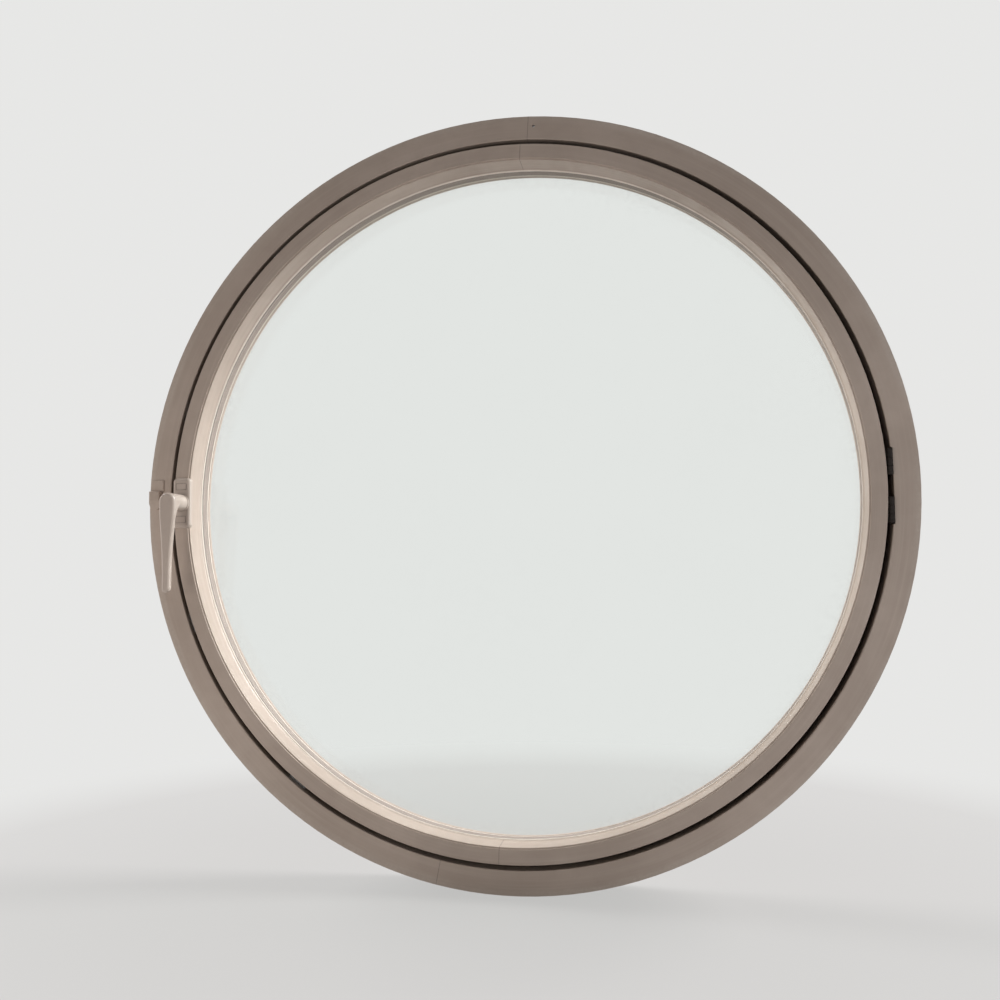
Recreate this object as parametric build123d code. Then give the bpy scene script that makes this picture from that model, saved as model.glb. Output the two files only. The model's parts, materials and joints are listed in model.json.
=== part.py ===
from build123d import *
import math
import os

# Round side-hung window: a slim round sash in a round frame, lever handle at nine o'clock, hinges at three.
# Millimetres. X to the right, Z up, Y from the room to the outdoors. The origin is the centre of the
# circle in the plane of the frame's room face. Sections are drawn as (radius, depth) and swept round Y.

# Sash
SASH_R = 450.0
SASH_FACE_WIDTH = 19.0
SASH_REVEAL_SETBACK = 3.0
SASH_TOE_SETBACK = 0.6
SASH_TOE_DEPTH = 1.5
SASH_PROUD = 4.0
SASH_BACK = 44.0
SASH_WALL = 2.4
SHOULDER = 26.0
NOSE_WALL = 3.0
NOSE_SHORT = 1.0
FLAT_STEP = 1.6
LIP_WIDTH = 2.0
LIP_ROUND = 0.65

# Frame
GAP = 7.0
FRAME_WIDTH = 30.0
FRAME_DEPTH = 70.0
STOP_OVERLAP = 5.5
STOP_SPACE = 8.0
FRAME_WALL = 2.8
FIX_GROOVE_WIDTH = 14.0
FIX_GROOVE_SINK = 3.0
EDGE_ROUND = 1.4
GLUE_HOLE_R = 1.8
GLUE_HOLE_ANGLE = 85.3
GLUE_HOLE_SETBACK = 12.7

# Hardware groove round the sash's rim
GROOVE_CENTRE = 22.0
GROOVE_OPENING = 12.0
GROOVE_WIDTH = 16.0
GROOVE_LIP = 2.5
GROOVE_SINK = 6.5

# Glass unit
GLASS_EDGE = 8.2
GLASS_CLEARANCE = 2.4
PANE = 5.0
PANE_ARRIS = 0.5
CAVITY = 12.0
GLASS_SEAL = 3.0
SEAL_SETBACK = 3.0
SEAL_LIP = 1.4
SEAL_SLOPE = 0.8
SPACER_WIDTH = 6.0
SEALANT_WIDTH = 3.0
SEALANT_SETBACK = 0.5
PACKER_ARC = 6.0
PACKER_SHORT = 1.0
PACKER_ANGLES = (20.0, 90.0, 160.0, 246.0, 290.0)

# Outdoor bead
BEAD_DEPTH = 7.0
BEAD_NIB = 1.4
BEAD_NIB_WIDTH = 2.6
BEAD_PLAY = 0.3
BEAD_SLOPE = 3.0
BEAD_BEVEL = 1.0

# Seams, measured in degrees anticlockwise from three o'clock, as seen from the room
FRAME_SEAM_TOP = 86.2
FRAME_SEAM_BOTTOM = 258.8
SASH_SEAM_TOP = 87.2
SASH_SEAM_BOTTOM = 268.1
JOINER_ARC = 9.0
JOINER_PLAY = 0.2

# Central gasket on the frame's stop
STOP_SEAL_WIDTH = 3.6
STOP_SEAL_GAP = 0.3
STOP_SEAL_ROUND = 1.4

# Handle
BASE_WIDTH = 25.0
BASE_HEIGHT = 66.0
BASE_THICKNESS = 8.0
BASE_CORNER = 5.0
BASE_ROUND = 4.4
PAD_WIDTH = 14.5
PAD_HEIGHT = 8.5
PAD_CORNER = 1.2
PAD_CENTRE = 21.7
PAD_GROOVE = 0.7
PAD_GROOVE_DEPTH = 1.2
COLLAR_RISE = 2.0
COLLAR_MARGIN = 0.6
COLLAR_GAP = 0.3
BOSS_R = 11.0
LEVER_PROJECTION = 46.5
LEVER_LENGTH = 117.0
LEVER_MIDDLE = 56.0
LEVER_MIDDLE_WIDTH = 14.4
LEVER_TIP_WIDTH = 11.0
LEVER_THICKNESS = 7.8
LEVER_FRONT_ROUND = 4.4
LEVER_BACK_ROUND = 1.5
NECK_REACH = 14.0
NECK_DROP = 26.0
SPINDLE_SIDE = 6.0
SPINDLE_PLAY = 0.1
SPINDLE_HOLE_PLAY = 0.4
SPINDLE_SOCKET = 14.0
SPINDLE_END_GAP = 0.5
BASE_SCREW_R = 2.0
BASE_SCREW_HEAD_R = 3.6
BASE_SCREW_HEAD = 2.4
BASE_SCREW_SINK = 3.2
BASE_SCREW_LENGTH = 12.0

# Gearbox: a toothed sector on the spindle drives the rack in the rail
SECTOR_R = 9.0
SECTOR_TEETH = 14
SECTOR_TEETH_CUT = 5
SECTOR_THICKNESS = 4.5
SECTOR_CHORD = 3.0
TOOTH_ADDENDUM = 1.3
TOOTH_DEDENDUM = 1.4
TOOTH_SHARE = 0.34
TOOTH_ROOT_SHARE = 0.75
TOOTH_TIP_SHARE = 0.32
HUB_R = 5.0
HUB_PLAY = 0.06
HUB_SHORT = 0.3
CASE_PLAY = 0.2
CASE_ROOM = 0.3
CASE_WIDTH = 13.9
CASE_HEIGHT = 40.0
CASE_DEPTH = 11.0
CASE_PAST_CENTRE = 1.6
SECTOR_SETBACK = 4.4

# Drive rail and locking cams
RAIL_WIDTH = 14.4
RAIL_PLAY = 0.8
RAIL_THICKNESS = 2.4
RAIL_ARC = 112.0
RACK_PITCH_DEPTH = 0.4
RACK_GAPS = 9
RACK_WIDE_SHARE = 0.66
RACK_NARROW_SHARE = 0.36
CAM_ANGLES = (130.0, 162.0, 198.0, 230.0)
CAM_R = 4.0
CAM_PLAY = 0.4
CAM_BEVEL = 0.6

# Keeps on the frame
KEEP_PLATE = 1.3
KEEP_LIP_HEIGHT = 3.2
KEEP_LIP_WIDTH = 3.6
KEEP_FRONT = 13.0
KEEP_BACK = 9.0
KEEP_LENGTH = 26.0
KEEP_GAP = 1.0
KEEP_PLAY = 0.3
KEEP_SEAT_GAP = 0.1
KEEP_SCREW_SETBACK = 5.1
KEEP_SCREW_SHARES = (0.2, 0.8)
SMALL_SCREW_R = 1.5
SMALL_SCREW_HEAD_R = 2.6
SMALL_SCREW_HEAD = 0.8
SMALL_SCREW_LENGTH = 11.0
SCREW_PLAY = 0.1

# Hinges in the gap at three o'clock
HINGE_DEPTH = 3.0
KNUCKLE_R = 3.1
HINGE_PIN_R = 1.5
HINGE_PIN_PLAY = 0.05
HINGE_HEIGHT = 30.0
HINGE_SPREAD = 28.0
HINGE_GAP = 0.3
LEAF = 2.0
LEAF_DEPTH = 13.0
LEAF_SCREW_DEPTH = 8.0
LEAF_SCREW_LENGTH = 7.0
LAND_MARGIN = 2.0
LAND_DEPTH_MARGIN = 1.0
LAND_FACE = 2.8

# Lug on the frame's face beside the handle
LUG_MARGIN = 2.4
LUG_WIDTH = 15.0
LUG_LOW = -7.5
LUG_MIDDLE = 17.0
LUG_TOP = 32.0
LUG_RISE = 8.0
LUG_FOOT_RISE = 3.5
LUG_FOOT_ROUND = 7.0
LUG_EDGE_ROUND = 1.4
LUG_STEP_RISE = 2.4
LUG_STEP_WIDTH = 13.0
LUG_STEP_SHIFT = 4.0
LUG_STEP_ROUND = 0.8
LUG_SCREW_Z = 8.0
LUG_SCREW_SINK = 3.0

# Values worked out from the dimensions above
FACE_Y = -SASH_PROUD
FLAT_R = SASH_R - SASH_FACE_WIDTH
REVEAL_R = FLAT_R - SASH_REVEAL_SETBACK
FRAME_INNER_R = SASH_R + GAP
FRAME_R = FRAME_INNER_R + FRAME_WIDTH
STOP_R = SASH_R - STOP_OVERLAP
STOP_DEPTH = SASH_BACK + STOP_SPACE
FIX_GROOVE_START = (FRAME_DEPTH - FIX_GROOVE_WIDTH) / 2
FIX_GROOVE_END = FIX_GROOVE_START + FIX_GROOVE_WIDTH
GLASS_R = REVEAL_R + GLASS_EDGE
REBATE_R = GLASS_R + GLASS_CLEARANCE
NOSE_R = REBATE_R + NOSE_WALL
GLASS_START = SHOULDER + GLASS_SEAL
GLASS_END = GLASS_START + 2 * PANE + CAVITY
BEAD_START = GLASS_END + GLASS_SEAL
BEAD_END = BEAD_START + BEAD_DEPTH
NOSE_DEPTH = BEAD_END - NOSE_SHORT
GROOVE_FLOOR_R = SASH_R - GROOVE_SINK
GROOVE_START = GROOVE_CENTRE - GROOVE_WIDTH / 2
GROOVE_END = GROOVE_CENTRE + GROOVE_WIDTH / 2
RAIL_INNER_R = GROOVE_FLOOR_R + RAIL_PLAY
RAIL_OUTER_R = RAIL_INNER_R + RAIL_THICKNESS
RACK_PITCH_R = RAIL_INNER_R + RACK_PITCH_DEPTH
HANDLE_X = SECTOR_R - RACK_PITCH_R
CASE_END = GROOVE_CENTRE + CASE_PAST_CENTRE
CASE_START = CASE_END - CASE_DEPTH
SECTOR_START = CASE_START + SECTOR_SETBACK
SECTOR_END = SECTOR_START + SECTOR_THICKNESS
SECTOR_ROOT_R = SECTOR_R - TOOTH_DEDENDUM
SECTOR_TIP_R = SECTOR_R + TOOTH_ADDENDUM
BASE_TOP = FACE_Y - BASE_THICKNESS
BOSS_START = BASE_TOP - COLLAR_RISE - COLLAR_GAP
LEVER_FRONT = FACE_Y - LEVER_PROJECTION
LEVER_BACK = LEVER_FRONT + LEVER_THICKNESS
SPINDLE_HOLE_R = SPINDLE_SIDE / math.sqrt(2) + SPINDLE_HOLE_PLAY
KEEP_SEAT_R = FRAME_INNER_R - KEEP_SEAT_GAP
KEEP_PLATE_R = KEEP_SEAT_R - KEEP_PLATE
CAM_TOP_R = KEEP_PLATE_R - CAM_PLAY
HINGE_X = SASH_R + GAP / 2
HINGE_Y = FACE_Y + HINGE_DEPTH
LUG_X = FRAME_R - LUG_MARGIN - LUG_WIDTH / 2
AROUND = Axis((0, 0, 0), (0, -1, 0))
FULL = 360.0


def section(*points):
    """Closed outline through (radius, depth) points, as a face."""
    return make_face(Polyline(*points, close=True))


def block(r1, r2, y1, y2):
    """Rectangle of a section, from radius r1 to r2 and depth y1 to y2."""
    return section((r1, y1), (r2, y1), (r2, y2), (r1, y2))


def eased(face, radius, *corners):
    """Rounds the corners of a section that lie nearest to the given points."""
    chosen = [min(face.vertices(), key=lambda v: (v.X - r) ** 2 + (v.Y - y) ** 2) for r, y in corners]
    return fillet(chosen, radius)


def swept(face, start=0.0, end=FULL):
    """Sweeps a section round the window from one angle to another."""
    return revolve(face, AROUND, end - start).rotate(AROUND, start)


def radial(angle, radius, depth):
    """Plane at a place on the rim, its normal pointing away from the centre."""
    turn = math.radians(angle)
    out = Vector(math.cos(turn), 0, math.sin(turn))
    return Plane(origin=out * radius + Vector(0, depth, 0), x_dir=(0, 1, 0), z_dir=out)


def slab(y1, y2, outline, x=0.0, z=0.0):
    """Prism between two depths, of an outline drawn as seen from the room."""
    plane = Plane(origin=(x, y2, z), x_dir=(1, 0, 0), z_dir=(0, -1, 0))
    return extrude(plane * outline, y2 - y1)


def upright_box(x1, x2, y1, y2, z1, z2):
    """Box between two corners."""
    return Location(((x1 + x2) / 2, (y1 + y2) / 2, (z1 + z2) / 2)) * Box(x2 - x1, y2 - y1, z2 - z1)


def room_face_edges(shape):
    """Edges of the face that lies nearest to the room."""
    return shape.faces().sort_by(Axis.Y)[0].edges()


def save(name, shape):
    """Writes one sub-part."""
    shape.label = name
    export_step(shape, f"parts/{name}.step")


def frame_chambers(play=0.0):
    """Hollow chambers of the frame's section, each drawn in by the play."""
    inset = FRAME_WALL + play
    inner, outer = FRAME_INNER_R + inset, FRAME_R - inset
    front = block(inner, outer, inset, FIX_GROOVE_START - inset)
    middle = block(inner, outer - FIX_GROOVE_SINK, FIX_GROOVE_START + play, FIX_GROOVE_END - play)
    back = block(inner, outer, FIX_GROOVE_END + inset, FRAME_DEPTH - inset)
    stop = block(STOP_R + inset, FRAME_INNER_R - play, STOP_DEPTH + inset, FRAME_DEPTH - inset)
    return front, middle, back, stop


def frame_section():
    """Frame's section: room face, stop leg at the back, fixing groove on the wall side."""
    groove_r = FRAME_R - FIX_GROOVE_SINK
    outline = section(
        (FRAME_INNER_R, 0), (FRAME_R, 0), (FRAME_R, FIX_GROOVE_START), (groove_r, FIX_GROOVE_START),
        (groove_r, FIX_GROOVE_END), (FRAME_R, FIX_GROOVE_END), (FRAME_R, FRAME_DEPTH), (STOP_R, FRAME_DEPTH),
        (STOP_R, STOP_DEPTH), (FRAME_INNER_R, STOP_DEPTH))
    outline = eased(outline, EDGE_ROUND, (FRAME_INNER_R, 0), (STOP_R, FRAME_DEPTH))
    for chamber in frame_chambers():
        outline -= chamber
    return outline


def sash_chamber(play=0.0):
    """Hollow chamber behind the sash's face, drawn in by the play."""
    inset = SASH_WALL + play
    return block(FLAT_R + inset, SASH_R - inset, FACE_Y + inset, GROOVE_START - inset)


def sash_section():
    """Sash's section: flat face, small step and lip, reveal down to the glass, hardware groove, thin nose."""
    slot_start = GROOVE_CENTRE - GROOVE_OPENING / 2
    slot_end = GROOVE_CENTRE + GROOVE_OPENING / 2
    lip_r = FLAT_R - LIP_WIDTH
    toe_r = REVEAL_R - SASH_TOE_SETBACK
    step_y = FACE_Y + FLAT_STEP
    outline = section(
        (SASH_R, FACE_Y), (SASH_R, slot_start), (SASH_R - GROOVE_LIP, slot_start),
        (SASH_R - GROOVE_LIP, GROOVE_START), (GROOVE_FLOOR_R, GROOVE_START),
        (GROOVE_FLOOR_R, GROOVE_END), (SASH_R - GROOVE_LIP, GROOVE_END),
        (SASH_R - GROOVE_LIP, slot_end), (SASH_R, slot_end), (SASH_R, SASH_BACK),
        (NOSE_R, SASH_BACK), (NOSE_R, NOSE_DEPTH), (REBATE_R, NOSE_DEPTH),
        (REBATE_R, SHOULDER), (toe_r, SHOULDER), (toe_r, SHOULDER - SASH_TOE_DEPTH),
        (REVEAL_R, SHOULDER - 2 * SASH_TOE_DEPTH), (lip_r, step_y + LIP_WIDTH),
        (lip_r, step_y), (FLAT_R, step_y), (FLAT_R, FACE_Y))
    outline = eased(outline, EDGE_ROUND, (SASH_R, FACE_Y), (SASH_R, SASH_BACK))
    outline = eased(outline, LIP_ROUND, (lip_r, step_y), (FLAT_R, FACE_Y))
    outline -= sash_chamber()
    outline -= block(REBATE_R, REBATE_R + BEAD_NIB, bead_notch_start(), bead_notch_start() + BEAD_NIB_WIDTH)
    return outline


def bead_notch_start():
    """Depth at which the notch for the bead's nib starts."""
    return BEAD_START + BEAD_NIB_WIDTH / 2


def countersunk(length, play=0.0):
    """Countersunk screw along +Z, its flat head at the origin."""
    head = Location((0, 0, SMALL_SCREW_HEAD / 2)) * Cone(
        SMALL_SCREW_HEAD_R + play, SMALL_SCREW_R + play, SMALL_SCREW_HEAD)
    shank = Location((0, 0, SMALL_SCREW_HEAD + length / 2)) * Cylinder(
        SMALL_SCREW_R + play, length + 2 * play)
    return head + shank


def keep_angles(cam):
    """Start and end angle of the keep that a cam slides behind."""
    start = cam + math.degrees((CAM_R + KEEP_GAP) / CAM_TOP_R)
    return start, start + math.degrees(KEEP_LENGTH / CAM_TOP_R)


def keep_screws(cam, play=0.0):
    """The two screws of a keep, behind its lip, driven away from the centre."""
    start, end = keep_angles(cam)
    depth = GROOVE_CENTRE + KEEP_BACK - KEEP_SCREW_SETBACK
    angles = [start + (end - start) * share for share in KEEP_SCREW_SHARES]
    return [radial(angle, KEEP_PLATE_R, depth).location * countersunk(SMALL_SCREW_LENGTH, play)
            for angle in angles]


def make_keep(cam):
    """Plate on the frame with a lip that stands on the room side of the cam's path."""
    lip_end = GROOVE_CENTRE - CAM_R - KEEP_PLAY
    plate = block(KEEP_PLATE_R, KEEP_SEAT_R, GROOVE_CENTRE - KEEP_FRONT, GROOVE_CENTRE + KEEP_BACK)
    lip = block(KEEP_PLATE_R - KEEP_LIP_HEIGHT, KEEP_PLATE_R, lip_end - KEEP_LIP_WIDTH, lip_end)
    keep = swept(plate + lip, *keep_angles(cam))
    for hole in keep_screws(cam, SCREW_PLAY):
        keep -= hole
    return keep


def hinge_centres():
    """Heights of the two hinges' middles."""
    return (-HINGE_SPREAD, HINGE_SPREAD)


def land_height():
    """Half the height of the flat lands that the hinge leaves sit on."""
    return HINGE_SPREAD + HINGE_HEIGHT / 2 + LAND_MARGIN


def knuckle(z1, z2, radius=KNUCKLE_R):
    """Upright cylinder on the hinge axis."""
    return Location((HINGE_X, HINGE_Y, (z1 + z2) / 2)) * Cylinder(radius, z2 - z1)


def frame_land():
    """Straight recess in the frame's edge for the hinges' frame leaves."""
    high = land_height()
    return upright_box(SASH_R, FRAME_INNER_R, FACE_Y, LEAF_DEPTH + LAND_DEPTH_MARGIN, -high, high)


def sash_land():
    """Flat on the sash's rim for the hinges' sash leaves, behind the face's edge."""
    high = land_height()
    return upright_box(SASH_R - LEAF, FRAME_INNER_R, FACE_Y + LAND_FACE, LEAF_DEPTH + LAND_DEPTH_MARGIN,
                       -high, high)


def leaf_screws(centre, side, play=0.0):
    """Small screws through a leaf, into the frame (side 1) or the sash (side -1)."""
    start = FRAME_INNER_R - LEAF if side > 0 else SASH_R
    screws = []
    for z in (centre - HINGE_HEIGHT / 4, centre + HINGE_HEIGHT / 4):
        plane = Plane(origin=(start, LEAF_SCREW_DEPTH, z), x_dir=(0, 1, 0), z_dir=(side, 0, 0))
        screws.append(plane.location * countersunk(LEAF_SCREW_LENGTH, play))
    return screws


def make_frame_leaf(centre):
    """Frame leaf: flat plate on its land, with a knuckle at each end."""
    low, high = centre - HINGE_HEIGHT / 2, centre + HINGE_HEIGHT / 2
    third = HINGE_HEIGHT / 3
    leaf = upright_box(FRAME_INNER_R - LEAF, FRAME_INNER_R, HINGE_Y, LEAF_DEPTH, low, high)
    leaf += knuckle(low, low + third - HINGE_GAP)
    leaf += knuckle(high - third + HINGE_GAP, high)
    leaf -= knuckle(low + third - HINGE_GAP, high - third + HINGE_GAP, KNUCKLE_R + HINGE_GAP)
    leaf -= knuckle(low, high, HINGE_PIN_R + HINGE_PIN_PLAY)
    for hole in leaf_screws(centre, 1, SCREW_PLAY):
        leaf -= hole
    return leaf


def make_sash_leaf(centre):
    """Sash leaf: flat plate on the sash's land, with one knuckle in the middle."""
    low, high = centre - HINGE_HEIGHT / 2, centre + HINGE_HEIGHT / 2
    half_tab = HINGE_HEIGHT / 6 - HINGE_GAP
    tab_end = HINGE_Y + KNUCKLE_R
    plate = upright_box(SASH_R - LEAF, SASH_R, tab_end - LEAF, LEAF_DEPTH, low, high)
    tab = upright_box(SASH_R - LEAF, HINGE_X, tab_end - LEAF, tab_end, centre - half_tab, centre + half_tab)
    leaf = plate + tab + knuckle(centre - half_tab, centre + half_tab)
    leaf -= knuckle(centre - half_tab, centre + half_tab, HINGE_PIN_R + HINGE_PIN_PLAY)
    for hole in leaf_screws(centre, -1, SCREW_PLAY):
        leaf -= hole
    return leaf


def make_hinge_pin(centre):
    """Hinge pin, as long as its knuckles."""
    return knuckle(centre - HINGE_HEIGHT / 2, centre + HINGE_HEIGHT / 2, HINGE_PIN_R)


def cheese_screw(x, z, head_y, length, play=0.0):
    """Cheese-head screw driven outdoors, its head starting at the given depth."""
    head = slab(head_y, head_y + BASE_SCREW_HEAD + play, Circle(BASE_SCREW_HEAD_R + play), x, z)
    return head + slab(head_y, head_y + BASE_SCREW_HEAD + length + play, Circle(BASE_SCREW_R + play), x, z)


def lug_screw(play=0.0):
    """Screw that holds the lug to the frame's face, its head under the lug's skin."""
    return cheese_screw(-LUG_X, LUG_SCREW_Z, LUG_SCREW_SINK - LUG_RISE, BASE_SCREW_LENGTH, play)


def make_lug():
    """Lug: pad with a round foot, sloping from its thick top to its foot, and a low step above it."""
    half = LUG_WIDTH / 2
    height = LUG_MIDDLE - LUG_LOW
    pad = eased(Rectangle(LUG_WIDTH, height), LUG_FOOT_ROUND, (-half, -height / 2), (half, -height / 2))
    body = slab(-LUG_RISE, 0, pad, -LUG_X, (LUG_MIDDLE + LUG_LOW) / 2)
    slope = make_face(Polyline((-LUG_RISE, LUG_LOW), (-LUG_FOOT_RISE, LUG_LOW),
                               (-LUG_RISE, LUG_LOW + height / 2), close=True))
    body -= extrude(Plane.YZ.offset(-LUG_X) * slope, LUG_WIDTH, both=True)
    body = fillet(room_face_edges(body), LUG_EDGE_ROUND)
    step_height = LUG_TOP - LUG_MIDDLE
    step = slab(-LUG_STEP_RISE, 0, Rectangle(LUG_STEP_WIDTH, step_height), -LUG_X + LUG_STEP_SHIFT,
                LUG_MIDDLE + step_height / 2)
    step = fillet(room_face_edges(step), LUG_STEP_ROUND)
    return body + step - lug_screw(SCREW_PLAY)


def glue_hole():
    """Injection hole in the frame's face, over the top joining sleeve."""
    turn = math.radians(GLUE_HOLE_ANGLE)
    radius = FRAME_R - GLUE_HOLE_SETBACK
    return slab(0, FRAME_WALL, Circle(GLUE_HOLE_R), radius * math.cos(turn), radius * math.sin(turn))


def make_frame_right():
    """Right half of the frame, with the land and screw holes of the hinges."""
    half = swept(frame_section(), FRAME_SEAM_BOTTOM - FULL, FRAME_SEAM_TOP)
    half -= frame_land()
    half -= glue_hole()
    for centre in hinge_centres():
        for hole in leaf_screws(centre, 1, SCREW_PLAY):
            half -= hole
    return half


def make_frame_left():
    """Left half of the frame, with the screw holes of the keeps and the lug."""
    half = swept(frame_section(), FRAME_SEAM_TOP, FRAME_SEAM_BOTTOM)
    for cam in CAM_ANGLES:
        for hole in keep_screws(cam, SCREW_PLAY):
            half -= hole
    return half - lug_screw(SCREW_PLAY)


def case_inner_x():
    """The gearbox case's side towards the glass."""
    return CASE_WIDTH + CASE_PLAY - GROOVE_FLOOR_R


def gearbox_pocket():
    """Pocket routed into the sash from its groove for the gearbox case."""
    half = CASE_HEIGHT / 2 + CASE_PLAY
    return upright_box(-SASH_R + GROOVE_LIP, case_inner_x() + CASE_PLAY,
                       CASE_START - CASE_PLAY, CASE_END + CASE_PLAY, -half, half)


def base_screws(play=0.0):
    """The two screws that hold the handle's base, their heads under the cover pads."""
    return [cheese_screw(HANDLE_X, z, BASE_TOP + BASE_SCREW_SINK, BASE_SCREW_LENGTH, play)
            for z in (-PAD_CENTRE, PAD_CENTRE)]


def make_sash_right():
    """Right half of the sash, with the hinges' land."""
    half = swept(sash_section(), SASH_SEAM_BOTTOM - FULL, SASH_SEAM_TOP)
    half -= sash_land()
    for centre in hinge_centres():
        for hole in leaf_screws(centre, -1, SCREW_PLAY):
            half -= hole
    return half


def make_sash_left():
    """Left half of the sash, with the holes for the handle and its gearbox."""
    half = swept(sash_section(), SASH_SEAM_TOP, SASH_SEAM_BOTTOM)
    half -= gearbox_pocket()
    half -= slab(FACE_Y, CASE_START, Circle(SPINDLE_HOLE_R), HANDLE_X)
    for hole in base_screws(SCREW_PLAY):
        half -= hole
    return half


def joiner(chamber, seam):
    """Sleeve inside a chamber, across a seam."""
    return swept(chamber, seam - JOINER_ARC / 2, seam + JOINER_ARC / 2)


def make_pane(y1):
    """Flat round pane with eased edges."""
    pane = slab(y1, y1 + PANE, Circle(GLASS_R))
    return chamfer(pane.edges().filter_by(GeomType.CIRCLE), PANE_ARRIS)


def make_inner_seal():
    """Glazing seal between the sash's shoulder and the room pane, with a lip that shows."""
    outer = REBATE_R - SEAL_SETBACK
    lip_r = REVEAL_R - SEAL_LIP
    seal = section((lip_r, SHOULDER + SEAL_SLOPE), (REVEAL_R, SHOULDER), (outer, SHOULDER),
                   (outer, GLASS_START), (lip_r, GLASS_START))
    return swept(seal)


def make_outer_seal():
    """Glazing seal between the outdoor pane and the bead."""
    return swept(block(REVEAL_R + SASH_TOE_SETBACK, REBATE_R - SEAL_SETBACK, GLASS_END, BEAD_START))


def make_packers():
    """Small packers between the glass unit's edge and the rebate."""
    packer = block(GLASS_R, REBATE_R, GLASS_START + PACKER_SHORT, GLASS_END - PACKER_SHORT)
    return Compound(children=[swept(packer, angle, angle + PACKER_ARC) for angle in PACKER_ANGLES])


def make_bead(start, end):
    """Half of the outdoor bead, its nib snapped into the sash's notch."""
    outer = REBATE_R - BEAD_PLAY
    nib_start = bead_notch_start() + BEAD_PLAY
    nib_end = bead_notch_start() + BEAD_NIB_WIDTH - BEAD_PLAY
    bead = section((REVEAL_R, BEAD_START), (outer, BEAD_START), (outer, nib_start),
                   (outer + BEAD_NIB, nib_start + BEAD_PLAY), (outer + BEAD_NIB, nib_end), (outer, nib_end),
                   (outer, BEAD_END - BEAD_BEVEL), (REVEAL_R + BEAD_SLOPE, BEAD_END),
                   (REVEAL_R, BEAD_END - BEAD_SLOPE))
    return swept(bead, start, end)


def make_stop_seal():
    """Central gasket on the frame's stop leg: flat foot and a rounded bulb towards the sash."""
    middle = (STOP_R + SASH_R) / 2
    half = STOP_SEAL_WIDTH / 2
    top = SASH_BACK + STOP_SEAL_GAP
    seal = block(middle - half, middle + half, top, STOP_DEPTH)
    return swept(eased(seal, STOP_SEAL_ROUND, (middle - half, top), (middle + half, top)))


def spindle_socket():
    """Square that fits over the spindle."""
    return Rectangle(SPINDLE_SIDE + 2 * SPINDLE_PLAY, SPINDLE_SIDE + 2 * SPINDLE_PLAY)


def sector_outline():
    """Toothed sector: part of a gear, with only the teeth that a quarter turn brings to the rack."""
    pitch = FULL / SECTOR_TEETH
    width = 2 * math.pi * SECTOR_R / SECTOR_TEETH * TOOTH_SHARE
    middle = FULL / 2 - pitch * (SECTOR_TEETH_CUT - 1) / 2
    cut = Location((SECTOR_CHORD + SECTOR_TIP_R, 0)) * Rectangle(2 * SECTOR_TIP_R, 4 * SECTOR_TIP_R)
    outline = Circle(SECTOR_ROOT_R) & (Rotation(0, 0, middle) * cut)
    root = SECTOR_ROOT_R - TOOTH_DEDENDUM
    tooth = Polygon((root, -width * TOOTH_ROOT_SHARE), (SECTOR_TIP_R, -width * TOOTH_TIP_SHARE),
                    (SECTOR_TIP_R, width * TOOTH_TIP_SHARE), (root, width * TOOTH_ROOT_SHARE), align=None)
    for i in range(SECTOR_TEETH_CUT):
        outline += Rotation(0, 0, FULL / 2 - i * pitch) * tooth
    return outline


def make_pinion():
    """Toothed sector with a hub that turns in the case and a square hole for the spindle."""
    gear = slab(SECTOR_START, SECTOR_END, sector_outline(), HANDLE_X)
    hub = slab(CASE_START + HUB_SHORT, CASE_END - HUB_SHORT, Circle(HUB_R), HANDLE_X)
    return gear + hub - slab(CASE_START, CASE_END, spindle_socket(), HANDLE_X)


def make_case():
    """Gearbox case: block with a chamber for the toothed sector, open towards the rail."""
    half = CASE_HEIGHT / 2
    inner = case_inner_x()
    case = upright_box(inner - CASE_WIDTH, inner, CASE_START, CASE_END, -half, half)
    room = SECTOR_TIP_R + CASE_ROOM
    sweep = Circle(room) & (Location((SECTOR_SETBACK - room, 0)) * Rectangle(2 * room, 2 * room))
    mouth = Location((-room, 0)) * Rectangle(2 * room, 2 * room)
    case -= slab(SECTOR_START - CASE_ROOM, SECTOR_END + CASE_ROOM, sweep + mouth, HANDLE_X)
    return case - slab(CASE_START, CASE_END, Circle(HUB_R + HUB_PLAY), HANDLE_X)


def rack_gap():
    """Gap between two teeth of the rack, open towards the centre."""
    width = 2 * math.pi * SECTOR_R / SECTOR_TEETH * (1 - TOOTH_SHARE)
    wide, narrow = width * RACK_WIDE_SHARE, width * RACK_NARROW_SHARE
    deep_r = RACK_PITCH_R + TOOTH_DEDENDUM
    gap = Polygon((GROOVE_FLOOR_R, -wide), (deep_r, -narrow), (deep_r, narrow), (GROOVE_FLOOR_R, wide),
                  align=None)
    return slab(GROOVE_START, GROOVE_END, gap)


def make_rail():
    """Curved drive rail that slides in the sash's groove, with the rack that the sector drives."""
    half = RAIL_WIDTH / 2
    strip = block(RAIL_INNER_R, RAIL_OUTER_R, GROOVE_CENTRE - half, GROOVE_CENTRE + half)
    rail = swept(strip, (FULL - RAIL_ARC) / 2, (FULL + RAIL_ARC) / 2)
    pitch = FULL / SECTOR_TEETH * SECTOR_R / RACK_PITCH_R
    for i in range(RACK_GAPS):
        rail -= rack_gap().rotate(AROUND, FULL / 2 + (i - RACK_GAPS // 2) * pitch)
    return rail


def make_cam(angle):
    """Round locking cam that stands on the rail and reaches to the keep."""
    height = CAM_TOP_R - RAIL_OUTER_R
    cam = Location((0, 0, height / 2)) * Cylinder(CAM_R, height)
    cam = chamfer(cam.faces().sort_by(Axis.Z)[-1].edges(), CAM_BEVEL)
    return radial(angle, RAIL_OUTER_R, GROOVE_CENTRE).location * cam


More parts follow.
